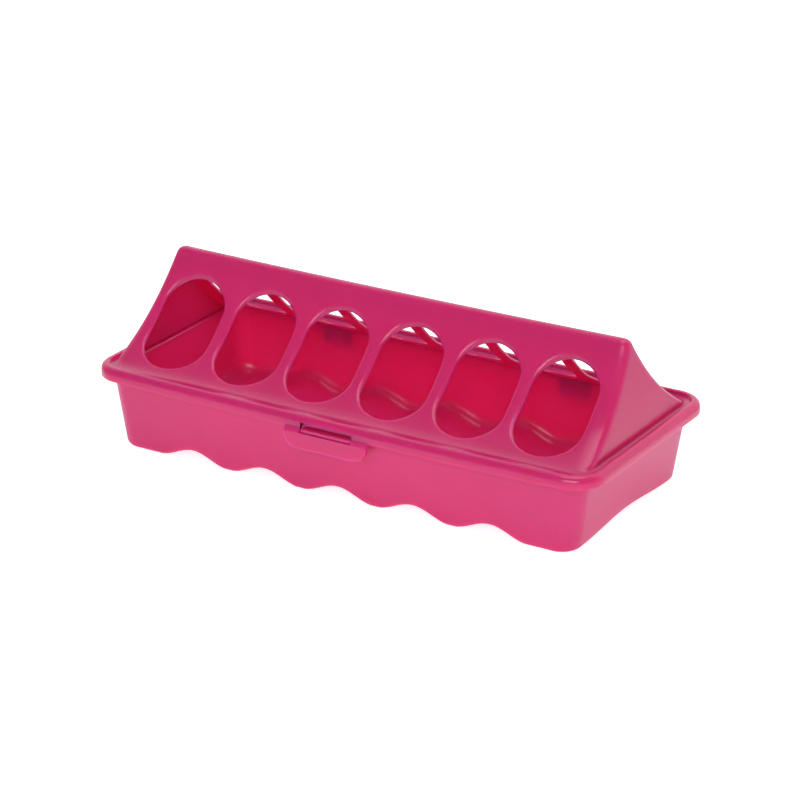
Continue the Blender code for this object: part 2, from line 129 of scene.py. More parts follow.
# Hinges and latch
HINGE_SPACING = 0.1500
HINGE_DROP = 0.0068
HINGE_WALL_GAP = 0.0005
BAR_RADIUS = 0.0016
BAR_CLEARANCE = 0.0003
STRAP_THICKNESS = 0.0018
STRAP_WIDTH = 0.0120
STRAP_SIDE_GAP = 0.0005
STRAP_BITE = 0.0007
STRAP_TOP_RISE = 0.0010
STRAP_END_ANGLE = -115
LUG_THICKNESS = 0.0025
LUG_ROUND = 0.0030
LUG_FRONT_ANGLE = 60
TAB_WIDTH = 0.0500
TAB_THICKNESS = 0.0020
TAB_LENGTH = 0.0150
TAB_CORNER_RADIUS = 0.0075
TAB_ROOT_RISE = 0.0012
TAB_SINK = 0.0004
TAB_EDGE_ROUND = 0.0009
TAB_RAMP_TOP_DROP = 0.0020
TAB_RAMP_FOOT_DROP = 0.0008
WINDOW_WIDTH = 0.0312
WINDOW_SILL = 0.0085
CATCH_HEIGHT = 0.0018
CATCH_GRIP = 0.0010
LATCH_GAP = 0.0003
SMALL_ROUND = 0.0003

# Plastics: colour and roughness
TRAY_PLASTIC = ((0.66, 0.028, 0.19), 0.22)
LID_PLASTIC = ((0.64, 0.022, 0.165), 0.17)
TAB_PLASTIC = ((0.65, 0.026, 0.18), 0.20)

# How deep light goes into the plastic: its scale, and the shares of red, green and blue
LIGHT_DEPTH = 0.009
LIGHT_DEPTH_SHARES = (1.0, 0.25, 0.5)
TINT_SPREAD = 0.04
GLOSS_SPREAD = 0.15
GRAIN_DEPTH = 0.0002

# Floor, whose glow fades between two distances from its middle
FLOOR_SIZE = 12
FLOOR_DROP = 0.0002
FLOOR_WHITE = 0.92
POOL_EDGE = (0.22, 0.42)
FLOOR_GLOW = 0.34
FLOOR_GLOW_FAR = 0.05
FLOOR_GLOW_SEEN = 0.75

# Room, which turns from dim to bright between two values of the direction's Y
ROOM_TURN = (-0.2, 0.7)
ROOM_FRONT = 0.20
ROOM_BACK = 1.05

# Lamps: place, size and power in watts
LIGHT_TARGET = (0, 0, 0.04)
LAMPS = {
    "front softbox": ((0.45, -1.5, 0.85), (1.4, 0.9), 13.5),
    "top softbox": ((0.0, 0.0, 1.8), (1.2, 1.0), 8),
    "side softbox": ((1.25, -0.60, 0.85), (0.5, 0.7), 0.4),
}

# Values that follow from those above
FLANGE_UNDERSIDE = TRAY_HEIGHT - TRAY_WALL
SKIRT_BOTTOM = TRAY_HEIGHT - SKIRT_DROP
GUTTER_LEVEL = TRAY_HEIGHT + SEAT_GAP + LID_WALL
BEAD_TOP = GUTTER_LEVEL + BEAD_RISE
BEAD_CENTRE = BEAD_TOP - BEAD_RADIUS
BEAD_SIDE = BEAD_TOP - BEAD_SIDE_DROP
BEAD_INSET = BEAD_RADIUS + CREST_REACH
TENT_FOOT_LEVEL = GUTTER_LEVEL + TENT_FOOT_RISE
TRAY_FOOT_LENGTH = TRAY_LENGTH - 2 * TRAY_END_DRAFT
TRAY_FOOT_WIDTH = TRAY_WIDTH - 2 * TRAY_SIDE_DRAFT
RIM_GROWTH = FLANGE_REACH + RIM_CLEARANCE + LID_WALL
RIM_HALF_LENGTH = TRAY_LENGTH / 2 + RIM_GROWTH + RIM_END_ROOM
RIM_HALF_WIDTH = TRAY_WIDTH / 2 + RIM_GROWTH
RIM_CORNER_RADIUS = TRAY_CORNER_RADIUS + RIM_GROWTH
RIM_FACE = RIM_HALF_WIDTH + SIDE_BOW
GUTTER_HALF_LENGTH = RIM_HALF_LENGTH - GUTTER_INSET_AT_END
GUTTER_HALF_WIDTH = RIM_HALF_WIDTH - GUTTER_INSET_AT_SIDE
TENT_HALF_LENGTH = GUTTER_HALF_LENGTH - TENT_END_LEDGE
TENT_HALF_WIDTH = GUTTER_HALF_WIDTH - TENT_SIDE_LEDGE
PLACE_PITCH = 2 * (TENT_HALF_LENGTH - PLACES_END_MARGIN) / PLACES
HOLE_HALF_WIDTH = (PLACE_PITCH - HOLE_WEB) / 2
HOLE_BOTTOM = TENT_HALF_WIDTH - HOLE_BOTTOM_MARGIN
STRAP_INNER_RADIUS = BAR_RADIUS + BAR_CLEARANCE
STRAP_OUTER_RADIUS = STRAP_INNER_RADIUS + STRAP_THICKNESS
HINGE_AXIS = (TRAY_WIDTH + SIDE_BOW) / 2 + HINGE_WALL_GAP + STRAP_OUTER_RADIUS
HINGE_LEVEL = FLANGE_UNDERSIDE - HINGE_DROP
TAB_FACE = HINGE_AXIS + STRAP_OUTER_RADIUS
TAB_BACK = TAB_FACE - TAB_THICKNESS
TAB_ROOT = BEAD_SIDE + TAB_ROOT_RISE - LATCH_GAP
TAB_BOTTOM = TAB_ROOT - TAB_LENGTH
WINDOW_BOTTOM = TAB_BOTTOM + WINDOW_SILL

# Fineness of the meshes
TRAY_COLUMNS = 124
TRAY_COLUMN_REACH = 0.124
TRAY_END_ROWS = 24
HOLE_COLUMNS = 20
ARC_COLUMNS = 14
END_ROWS = 14
SIDE_START = END_ROWS + ARC_COLUMNS
PATCH_RINGS = 5
EDGE_STEPS = 4
BAR_SIDES = 24
TAB_ROWS = 9
TAB_LEG_COLUMN = 0.0009
SLOPE_STEP = 0.0002
SMOOTH_ANGLE = math.radians(35)
TINY = 1e-6


def lerp(low, high, share):
    return low + (high - low) * share


def arc(centre, radius, start, end, steps):
    """Points on a circle, from one angle in degrees to another."""
    angles = np.radians(np.linspace(start, end, steps + 1))
    return [(centre[0] + radius * math.cos(a), centre[1] + radius * math.sin(a)) for a in angles]


def bezier(points, steps):
    """Points on a quadratic curve through its first and last points."""
    t = np.linspace(0, 1, steps + 1)[:, None]
    a, b, c = (np.array(p, float) for p in points)
    return (1 - t) ** 2 * a + 2 * t * (1 - t) * b + t ** 2 * c


def side_height(x, half_length, half_width, radius, bow):
    """Half width in plan at x of a rounded rectangle with bowed long sides."""
    radius = np.minimum(radius, half_width)
    over = np.clip(np.abs(x) - (half_length - radius), 0, radius)
    y = half_width - radius + np.sqrt(radius ** 2 - over ** 2)
    return y + bow * (1 - (x / half_length) ** 2) * y / half_width


def ring(half_length, half_width, radius, bow, xs, end_shares, whole_arc=False, shift=0.0):
    """Rounded rectangle in plan, anticlockwise from the -Y end of its +X end.

    The long sides have a point at each of xs, from +X to -X. The front's are shifted along X.
    """
    radius = min(radius, half_width)
    run, rise = half_length - radius, half_width - radius
    limit = half_length - radius / 2

    def corner_points(reach):
        start = 90.0
        if reach > run:
            start = math.degrees(math.acos(min(1.0, (reach - run) / radius)))
        points = arc((run, rise), radius, 0, start, ARC_COLUMNS)[1:]
        return points if whole_arc else points[:-1]

    def half_ring(columns):
        columns = columns * min(1, limit / np.abs(columns).max())
        end = [(half_length, -rise * share) for share in end_shares]
        plain = [(x, side_height(x, half_length, half_width, radius, 0)) for x in columns]
        far = [(-x, y) for x, y in reversed(corner_points(-columns[-1]))]
        return end + corner_points(columns[0]) + plain + far

    loop = np.array(half_ring(xs) + [(-x, -y) for x, y in half_ring(xs - shift)])
    x, y = loop.T
    loop[:, 1] = y + bow * (1 - (x / half_length) ** 2) * np.minimum(y, 0) / half_width
    return loop


def cap_columns(count, end_steps):
    """Index pairs of a ring's opposite points, for the grid that closes it."""
    half = count // 2
    far = list(range(end_steps, half + 1))
    near = [0] + list(range(count - 1, half + end_steps - 1, -1))
    return near, far


def quads(rows, count):
    """The faces between neighbouring rows of points, as one list for each row."""
    turns = [(i, (i + 1) % count) for i in range(count)]
    return [[[k * count + i, k * count + j, (k + 1) * count + j, (k + 1) * count + i] for i, j in turns]
            for k in range(rows - 1)]


def open_sides(faces):
    """The sides of faces that no other face shares."""
    sides = [side for face in faces for side in zip(face, face[1:] + face[:1])]
    uses = Counter(frozenset(side) for side in sides)
    return [side for side in sides if uses[frozenset(side)] == 1]


def make_object(name, vertices, faces, material, body):
    mesh = bpy.data.meshes.new(name)
    mesh.from_pydata([tuple(v) for v in vertices], [], faces)
    shape = bmesh.new()
    shape.from_mesh(mesh)
    bmesh.ops.recalc_face_normals(shape, faces=shape.faces)
    shape.to_mesh(mesh)
    shape.free()
    mesh.materials.append(material)
    mesh.shade_smooth()
    mesh.set_sharp_from_angle(angle=SMOOTH_ANGLE)
    thing = bpy.data.objects.new(name, mesh)
    bpy.context.scene.collection.objects.link(thing)
    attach(thing, body)
    return thing


def soften(thing, width, segments=3):
    """Round the sharp edges of a piece."""
    bevel = thing.modifiers.new("rounded edges", "BEVEL")
    bevel.width = width
    bevel.segments = segments
    bevel.limit_method = "ANGLE"
    bevel.angle_limit = SMOOTH_ANGLE


def underside(x, y):
    """Height of the tray's underside: waves along the trough, an arch across it."""
    half_span = TRAY_FOOT_WIDTH / 2 - TRAY_FOOT_ROUND - CORNER_PAD_WIDTH
    swing = math.cos(math.pi * WAVE_PAD_WIDTH / PLACE_PITCH)
    phase = -np.cos(2 * np.pi * (x / PLACE_PITCH + (PLACES - 1) / 2))
    phase = np.where(np.abs(x) < (PLACES - 1) / 2 * PLACE_PITCH, phase, -1)
    wave = np.maximum(0, (phase + swing) / (1 + swing))
    arch = (1 + np.cos(np.pi * np.minimum(np.abs(y) / half_span, 1))) / 2
    return WAVE_HEIGHT * wave + END_ARCH_HEIGHT * arch * (1 - wave)


def tray_rows():
    """The tray's section as (growth, rise above the waves, level, share of waves) rows.

    It runs up the outside from the foot, round the flange and down the inside.
    """
    rows = []
    foot = TRAY_FOOT_ROUND
    for a in np.radians(np.linspace(90, 0, 7)):
        rows.append((foot * (math.cos(a) - 1), foot * (1 - math.sin(a)), 1.0, 0.0))
    top = FLANGE_UNDERSIDE - FLANGE_ROUND
    for share in (0.2, 0.4, 0.6, 0.8, 1.0):
        rows.append((0.0, lerp(foot, top, share), 1 - share, share))
    reach, edge = FLANGE_REACH, FLANGE_EDGE_ROUND
    section = [(FLANGE_ROUND * (1 - math.cos(a)), FLANGE_UNDERSIDE - FLANGE_ROUND * (1 - math.sin(a)))
               for a in np.radians((30, 60, 90))]
    section += [(reach - edge, FLANGE_UNDERSIDE)]
    section += arc((reach - edge, FLANGE_UNDERSIDE + edge), edge, -60, 0, 2)
    section += arc((reach - edge, TRAY_HEIGHT - edge), edge, 0, 90, 3)
    mouth = MOUTH_ROUND
    section += arc((mouth - TRAY_WALL, TRAY_HEIGHT - mouth), mouth, 90, 180, 5)
    rows += [(growth, level, 0.0, 1.0) for growth, level in section]
    inner, floor = TRAY_INNER_ROUND, TRAY_WALL
    low = floor + inner
    for share in (0.8, 0.6, 0.4, 0.2):
        rows.append((-TRAY_WALL, lerp(low, TRAY_HEIGHT - mouth, share), 1 - share, share))
    for a in np.radians(np.linspace(0, 90, 8)):
        growth = -TRAY_WALL - inner * (1 - math.cos(a))
        rows.append((growth, floor + inner * (1 - math.sin(a)), 1.0, 0.0))
    return rows


def tray_row_ring(row, xs, shares):
    growth, level, waves, bowed = row
    rise = np.clip(level / FLANGE_UNDERSIDE, 0, 1)
    half_length = lerp(TRAY_FOOT_LENGTH, TRAY_LENGTH, rise) / 2 + growth
    half_width = lerp(TRAY_FOOT_WIDTH, TRAY_WIDTH, rise) / 2 + growth
    bow = SIDE_BOW * (0.5 * bowed + 0.5 * max(0.0, growth) / FLANGE_REACH)
    loop = ring(half_length, half_width, TRAY_CORNER_RADIUS + growth, bow, xs, shares, True)
    z = level + waves * underside(loop[:, 0], loop[:, 1])
    return np.column_stack([loop, z])


def close_ring(vertices, faces, start, count, shares, level_at, flip):
    """Fill a ring of vertices with a grid of quads that runs from side to side."""
    steps = len(shares) - 1
    near, far = cap_columns(count, steps)
    columns = []
    for i, (a, b) in enumerate(zip(near, far)):
        if i == 0:
            columns.append([start + k for k in range(steps + 1)])
            continue
        if i == len(near) - 1:
            half = count // 2
            columns.append([start + half + steps - k for k in range(steps + 1)])
            continue
        low, high = vertices[start + a], vertices[start + b]
        column = [start + a]
        for share in shares[1:-1]:
            x, y = lerp(low[:2], high[:2], (1 - share) / 2)
            vertices.append(np.array([x, y, level_at(x, y)]))
            column.append(len(vertices) - 1)
        columns.append(column + [start + b])
    for one, two in zip(columns, columns[1:]):
        for k in range(steps):
            face = [one[k], one[k + 1], two[k + 1], two[k]]
            faces.append(face[::-1] if flip else face)


def make_tray(material):
    xs = np.linspace(TRAY_COLUMN_REACH, -TRAY_COLUMN_REACH, TRAY_COLUMNS + 1)
    shares = list(np.linspace(1, -1, TRAY_END_ROWS + 1))
    rings = [tray_row_ring(row, xs, shares) for row in tray_rows()]
    count = len(rings[0])
    vertices = [point for loop in rings for point in loop]
    faces = [face for row in quads(len(rings), count) for face in row]
    close_ring(vertices, faces, 0, count, shares, underside, True)

    def floor_top(x, y):
        return underside(x, y) + TRAY_WALL

    close_ring(vertices, faces, (len(rings) - 1) * count, count, shares, floor_top, False)
    tray = make_object("tray_shell", vertices, faces, material, "tray")
    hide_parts("tray")


def prism(name, outline, low, high, material, body):
    """An outline in Y and Z given thickness along X, as a closed mesh."""
    count = len(outline)
    vertices = [(x, y, z) for x in (low, high) for y, z in outline]
    faces = [[i, (i + 1) % count, count + (i + 1) % count, count + i] for i in range(count)]
    faces += [list(range(count)), list(range(count, 2 * count))]
    return make_object(name, vertices, faces, material, body)


def make_catch(material):
    root = PART_OVERLAP - TRAY_WIDTH / 2
    bottom = WINDOW_BOTTOM + LATCH_GAP
    tip = -(TAB_BACK + CATCH_GRIP)
    outline = [
        (root, bottom - CATCH_HEIGHT),
        (LATCH_GAP - TAB_BACK, bottom),
        (tip, bottom),
        (tip, bottom + CATCH_HEIGHT),
        (root - FLANGE_REACH, bottom + CATCH_HEIGHT),
        (root - FLANGE_REACH, FLANGE_UNDERSIDE + PART_OVERLAP),
        (root, FLANGE_UNDERSIDE + PART_OVERLAP),
    ]
    half = WINDOW_WIDTH / 2 - 2 * LATCH_GAP
    catch = prism("catch", outline, -half, half, material, "tray")
    soften(catch, SMALL_ROUND)


def make_hinges(tray_plastic, lid_plastic):
    axis = (HINGE_AXIS, HINGE_LEVEL)
    root = TRAY_WIDTH / 2 - PART_OVERLAP
    shoulder = HINGE_AXIS - LUG_ROUND / 3
    top = FLANGE_UNDERSIDE + PART_OVERLAP
    lug = [(root, HINGE_LEVEL - LUG_ROUND)]
    lug += arc(axis, LUG_ROUND, -90, LUG_FRONT_ANGLE, 12)
    lug += [(shoulder, FLANGE_UNDERSIDE - LUG_ROUND / 2), (shoulder, top), (root, top)]
    strap_top = BEAD_SIDE + STRAP_TOP_RISE
    strap = arc(axis, STRAP_OUTER_RADIUS, STRAP_END_ANGLE, 0, 20)
    strap += [
        (HINGE_AXIS + STRAP_OUTER_RADIUS, strap_top - STRAP_TOP_RISE),
        (RIM_HALF_WIDTH - STRAP_BITE, strap_top),
        (RIM_HALF_WIDTH - 2 * STRAP_BITE, strap_top - STRAP_BITE),
        (RIM_HALF_WIDTH - 2 * STRAP_BITE, SKIRT_BOTTOM + STRAP_BITE),
    ]
    strap += arc(axis, STRAP_INNER_RADIUS, 90, STRAP_END_ANGLE, 20)
    bar = arc(axis, BAR_RADIUS, 0, 360 - 360 / BAR_SIDES, BAR_SIDES - 1)
    inner = STRAP_WIDTH / 2 + STRAP_SIDE_GAP
    outer = inner + LUG_THICKNESS
    bar_reach = inner + LUG_THICKNESS / 2
    half = STRAP_WIDTH / 2
    for side, middle in (("left", -HINGE_SPACING / 2), ("right", HINGE_SPACING / 2)):
        pieces = [
            prism(f"hinge_lug_{side}_a", lug, middle - outer, middle - inner, tray_plastic, "tray"),
            prism(f"hinge_lug_{side}_b", lug, middle + inner, middle + outer, tray_plastic, "tray"),
            prism(f"hinge_bar_{side}", bar, middle - bar_reach, middle + bar_reach, tray_plastic, "tray"),
            prism(f"hinge_strap_{side}", strap, middle - half, middle + half, lid_plastic, "lid"),
        ]
        for piece in pieces:
            soften(piece, SMALL_ROUND)


def lid_columns():
    """Places along X of the lid's side columns, and of the frames round the holes."""
    half = HOLE_HALF_WIDTH + HOLE_FRAME
    xs = []
    frames = []
    for place in range(PLACES):
        centre = (place - (PLACES - 1) / 2) * PLACE_PITCH
        start = len(xs)
        xs += list(np.linspace(centre - half, centre + half, HOLE_COLUMNS + 1))
        frames.append((start, len(xs) - 1, centre))
        if place < PLACES - 1:
            xs += [centre + PLACE_PITCH / 2]
    last = len(xs) - 1
    xs = np.array(xs)[::-1]
    for edge in (-WINDOW_WIDTH / 2, WINDOW_WIDTH / 2):
        edge += FRONT_ROW_SHIFT
        xs[np.argmin(np.abs(xs - edge))] = edge
    return xs, [(last - high, last - low, centre) for low, high, centre in frames]


def rim_rows():
    """Rows of the rim: (outer inset, outer level, inner inset, inner level)."""
    rows = []
    for a in np.radians((90, 45, 0)):
        inset, rise = EDGE_ROUND * (1 - math.cos(a)), EDGE_ROUND * (1 - math.sin(a))
        rows.append((inset, SKIRT_BOTTOM + rise, LID_WALL - inset, SKIRT_BOTTOM + rise))
    hollow = BEAD_RADIUS - LID_WALL
    for a in np.radians(np.linspace(0, 90, 9)):
        rows.append((BEAD_RADIUS * (1 - math.cos(a)), BEAD_CENTRE + BEAD_RADIUS * math.sin(a),
                     BEAD_RADIUS - hollow * math.cos(a), BEAD_CENTRE + hollow * math.sin(a)))
    for reach, rise, inner_reach, inner_rise in BEAD_CREST:
        rows.append((BEAD_RADIUS + reach, BEAD_TOP + rise,
                     BEAD_RADIUS + inner_reach, BEAD_TOP - LID_WALL + inner_rise))
    return rows


def rim_section(inset, level):
    """A row of the rim in the form that tent_rows gives."""
    return RIM_HALF_LENGTH - inset, RIM_HALF_WIDTH - inset, RIM_CORNER_RADIUS - inset, SIDE_BOW, level


def end_half_length(level):
    """Half length of the tent at a height: a leaning wall, rounded at the top, filleted at the foot."""
    climb = (level - TENT_FOOT_LEVEL) / (RIDGE_HEIGHT - TENT_FOOT_LEVEL)
    length = TENT_HALF_LENGTH - RIDGE_END_LEAN * climb
    drop = RIDGE_HEIGHT - level
    if drop < RIDGE_END_ROUND:
        sine = 1 - drop / RIDGE_END_ROUND
        length -= RIDGE_END_ROUND * (1 - math.sqrt(max(0.0, 1 - sine ** 2)))
    rise = level - GUTTER_LEVEL
    if rise < TENT_END_FILLET:
        cosine = 1 - rise / TENT_END_FILLET
        length += TENT_END_FILLET * (1 - math.sqrt(max(0.0, 1 - cosine ** 2)))
    return length


def tent_rows():
    """Rows from the gutter up to the ridge: (half length, half width, radius, bow, level)."""
    rows = []
    gutter_radius = RIM_CORNER_RADIUS - GUTTER_INSET_AT_SIDE
    for share in (0.35, 0.7, 1.0):
        length = lerp(RIM_HALF_LENGTH - BEAD_INSET, end_half_length(GUTTER_LEVEL), share)
        width = lerp(RIM_HALF_WIDTH - BEAD_INSET, GUTTER_HALF_WIDTH, share)
        radius = lerp(RIM_CORNER_RADIUS - BEAD_INSET, gutter_radius, share)
        rows.append((length, width, radius, SIDE_BOW * lerp(1, TENT_BOW_SHARE, share), GUTTER_LEVEL))
    foot = (TENT_HALF_WIDTH, TENT_FOOT_LEVEL)
    slope = (FACE_CONTROL[1] - foot[1]) / (FACE_CONTROL[0] - foot[0])
    knee = (foot[0] + (GUTTER_LEVEL - foot[1]) / slope, GUTTER_LEVEL)
    curve = list(bezier([(GUTTER_HALF_WIDTH, GUTTER_LEVEL), knee, foot], 8))[1:]
    curve += list(bezier([foot, FACE_CONTROL, FACE_TOP], 30))[1:-1]
    steep = math.atan2(FACE_CONTROL[1] - FACE_TOP[1], FACE_CONTROL[0] - FACE_TOP[0])
    meet = FACE_TOP[0] - (RIDGE_HEIGHT - FACE_TOP[1]) / abs(math.tan(steep))
    start = meet - RIDGE_ROUND * math.tan(-steep / 2)
    crown = arc((start, RIDGE_HEIGHT - RIDGE_ROUND), RIDGE_ROUND, 90 + math.degrees(steep), 90, 6)
    curve = [point for point in curve if point[1] < crown[0][1] - CROWN_GAP] + crown
    for width, level in curve:
        climb = np.clip((level - GUTTER_LEVEL) / TENT_FOOT_RISE, 0, 1)
        radius = min(lerp(gutter_radius, TENT_CORNER_RADIUS, climb), width)
        bow = TENT_BOW_SHARE * SIDE_BOW * (1 - climb)
        rows.append((end_half_length(level), width, radius, bow, level))
    return rows


class Surface:
    """The lid's outer surface over the tent, as a height in plan."""

    def __init__(self, rows):
        kept = [row for row in rows if row[1] <= GUTTER_HALF_WIDTH + TINY][::-1]
        *self.sections, self.levels = np.array(kept).T

    def level(self, x, y):
        return np.interp(abs(y), side_height(x, *self.sections), self.levels)

    def inner_level(self, x, y):
        step = SLOPE_STEP
        across = (self.level(x, y + step) - self.level(x, y - step)) / (2 * step)
        along = (self.level(x + step, y) - self.level(x - step, y)) / (2 * step)
        return self.level(x, y) - LID_WALL * math.sqrt(1 + across ** 2 + along ** 2)


def path_shares(points):
    """How far along a path each of its points is, from 0 to 1."""
    lengths = np.concatenate([[0], np.cumsum(np.linalg.norm(np.diff(points, axis=0), axis=1))])
    return lengths / lengths[-1]


def resample(points, shares):
    """Points at shares of the length of a path."""
    points = np.array(points)
    places = path_shares(points)
    return np.column_stack([np.interp(shares, places, points[:, k]) for k in (0, 1)])


def hole_sides():
    """The hole's outline as its right, top, left and bottom stretches, about its middle in X."""
    low, high = HOLE_BOTTOM - HOLE_BOTTOM_ROUND, HOLE_TOP + HOLE_TOP_ROUND
    half = HOLE_HALF_WIDTH

    def lower(start, end):
        return [(half * x, low + HOLE_BOTTOM_ROUND * y) for x, y in arc((0, 0), 1, start, end, 24)]

    def upper(start, end):
        return [(half * x, high - HOLE_TOP_ROUND * y) for x, y in arc((0, 0), 1, start, end, 24)]

    right = lower(45, 0) + upper(0, 45)
    top = upper(45, 135)
    left = upper(135, 180) + lower(180, 135)
    bottom = lower(135, 45)
    return right, top, left, bottom


def patch(outer, inner, faces, parts, centre, side, surface):
    """Fill the frame round one feeding hole, and round the hole's edges.

    parts run round the frame from its lower right corner: up its right side, along its
    top, down its left side and back along its bottom. outer and inner are the two skins.
    """
    stretches = []
    for part, stretch in zip(parts, hole_sides()):
        shares = path_shares(np.array([outer[i][:2] for i in part]))
        stretches.append(resample(stretch, shares)[:-1])
    outline = np.concatenate(stretches)
    count = len(outline)
    tangent = np.roll(outline, -1, axis=0) - np.roll(outline, 1, axis=0)
    normal = np.column_stack([-tangent[:, 1], tangent[:, 0]])
    normal /= np.linalg.norm(normal, axis=1)[:, None]
    middle = np.array([0.0, (HOLE_TOP + HOLE_BOTTOM) / 2])
    if np.sum(normal * (outline - middle)) < 0:
        normal = -normal
    turn = np.array([1.0, side])
    shift = np.array([centre, 0.0])
    edge = (outline + normal * (HOLE_SIDE_ROUND, HOLE_END_ROUND)) * turn + shift
    inner_edge = (outline + normal * HOLE_INNER_ROUND) * turn + shift
    wall = outline * turn + shift
    frame_loop = [i for part in parts for i in part[:-1]]
    start_outer = np.array([outer[i] for i in frame_loop])
    start_inner = np.array([inner[i] for i in frame_loop])
    previous = frame_loop
    rings = []
    for step in range(1, PATCH_RINGS + 1):
        share = step / PATCH_RINGS
        out = lerp(start_outer[:, :2], edge, share)
        into = lerp(start_inner[:, :2], inner_edge, share)
        rings.append(([(x, y, surface.level(x, y)) for x, y in out],
                      [(x, y, surface.inner_level(x, y)) for x, y in into]))
    high = [np.array((x, y, surface.level(x, y))) for x, y in wall]
    low = [np.array((x, y, surface.inner_level(x, y))) for x, y in wall]
    drop = np.array((0, 0, HOLE_EDGE_DROP))
    lift = np.array((0, 0, HOLE_INNER_ROUND))
    last_out, last_in = rings[-1]
    upper = [bezier([a, b, b - drop], EDGE_STEPS) for a, b in zip(last_out, high)]
    lower = [bezier([a, b, b + lift], EDGE_STEPS) for a, b in zip(last_in, low)]
    for step in range(1, EDGE_STEPS + 1):
        rings.append(([points[step] for points in upper], [points[step] for points in lower]))
    for out, into in rings:
        current = list(range(len(outer), len(outer) + count))
        outer.extend(np.array(out))
        inner.extend(np.array(into))
        for i in range(count):
            j = (i + 1) % count
            faces.append([previous[i], previous[j], current[j], current[i]])
        previous = current


def inside_rows(rows):
    """The tent's rows set in by the wall's thickness, square to its section."""
    section = np.array([(row[1], row[4]) for row in rows])
    level_step = (LID_WALL / 2, 0)
    section = np.vstack([section[0] + level_step, section, section[-1] - level_step])
    tangent = section[2:] - section[:-2]
    normal = np.column_stack([tangent[:, 1], -tangent[:, 0]])
    normal /= np.linalg.norm(normal, axis=1)[:, None]
    inside = []
    for (half_length, half_width, radius, bow, level), (across, up) in zip(rows, normal):
        width = half_width - LID_WALL * across
        low = level - LID_WALL * up
        set_in = LID_WALL * min(1, (low + LID_WALL - GUTTER_LEVEL) / TENT_END_FILLET)
        length = min(half_length, end_half_length(low + LID_WALL)) - set_in
        corner = min(max(radius - LID_WALL, SMALL_ROUND), width)
        inside.append((length, width, corner, bow, low))
    return inside


def skin_points(section, xs, shares):
    """The points of one skin of the lid, row after row."""
    points = []
    for half_length, half_width, radius, bow, level in section:
        loop = ring(half_length, half_width, radius, bow, xs, shares, shift=FRONT_ROW_SHIFT)
        points.extend(np.column_stack([loop, np.full(len(loop), level)]))
    return points


def hole_frames(frames, last_column, count, low_row, high_row):
    """The faces that the feeding holes cut out, and what is needed to patch each hole.

    That is the frame's right, top, left and bottom stretches, the hole's middle along X,
    and its side: 1 at the back, -1 at the front.
    """
    removed = set()
    holes = []
    for first, last, centre in frames:
        for side in (1, -1):
            columns = [SIDE_START + i for i in range(first, last + 1)]
            middle = centre
            if side == -1:
                columns = [count // 2 + SIDE_START + last_column - i for i in range(first, last + 1)]
                middle += FRONT_ROW_SHIFT
            for k in range(low_row, high_row):
                removed.update((k, i) for i in range(min(columns), max(columns)))
            right = [k * count + columns[0] for k in range(low_row, high_row + 1)]
            top = [high_row * count + i for i in columns]
            left = [k * count + columns[-1] for k in range(high_row, low_row - 1, -1)]
            bottom = [low_row * count + i for i in reversed(columns)]
            holes.append(([right, top, left, bottom], middle, side))
    return removed, holes


def join_skins(outer, inner, kept):
    """The two skins as one closed mesh, with walls along their open sides."""
    used = sorted({i for face in kept for i in face})
    place = {old: new for new, old in enumerate(used)}
    size = len(used)
    points = np.array([outer[i] for i in used] + [inner[i] for i in used])
    faces = [[place[i] for i in face] for face in kept]
    faces += [[place[i] + size for i in face[::-1]] for face in kept]
    for a, b in open_sides(kept):
        faces.append([place[b], place[a], place[a] + size, place[b] + size])
    return points, faces


def make_lid(material):
    xs, frames = lid_columns()
    shares = list(np.linspace(1, -1, END_ROWS + 1))
    rim = rim_rows()
    tent = tent_rows()
    outer = skin_points([rim_section(*row[:2]) for row in rim] + tent, xs, shares)
    inner = skin_points([rim_section(*row[2:]) for row in rim] + inside_rows(tent), xs, shares)
    rows = len(rim) + len(tent)
    count = len(outer) // rows
    cap = []
    close_ring(outer, cap, (rows - 1) * count, count, shares, lambda x, y: RIDGE_HEIGHT, False)
    # The inner skin has the same faces, so only its points are added here
    close_ring(inner, [], (rows - 1) * count, count, shares, lambda x, y: RIDGE_HEIGHT - LID_WALL, False)

    low_row = next(k for k, row in enumerate(tent) if row[1] < HOLE_BOTTOM + HOLE_FRAME) - 1 + len(rim)
    high_row = next(k for k, row in enumerate(tent) if row[1] < HOLE_TOP - HOLE_FRAME / 2) + len(rim)
    removed, holes = hole_frames(frames, len(xs) - 1, count, low_row, high_row)
    window = [count // 2 + SIDE_START + i for i, x in enumerate(xs)
              if abs(x - FRONT_ROW_SHIFT) <= WINDOW_WIDTH / 2 + TINY]
    window_top = next(k for k, row in enumerate(rim) if row[1] > TAB_ROOT) - 1
    removed.update((k, i) for k in range(window_top) for i in range(min(window), max(window)))
    kept = [face for k, row in enumerate(quads(rows, count)) for i, face in enumerate(row)
            if (k, i) not in removed]
    kept += cap
    surface = Surface(tent)
    for parts, middle, side in holes:
        patch(outer, inner, kept, parts, middle, side, surface)
    points, faces = join_skins(outer, inner, kept)
    climb = np.clip((points[:, 2] - TENT_FOOT_LEVEL) / (RIDGE_HEIGHT - TENT_FOOT_LEVEL), 0, 1)
    points[:, 2] -= RIDGE_SAG * climb * np.clip(1 - (points[:, 0] / TENT_HALF_LENGTH) ** 2, 0, 1)
    lid = make_object("lid_shell", points, faces, material, "lid")
    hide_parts("lid")


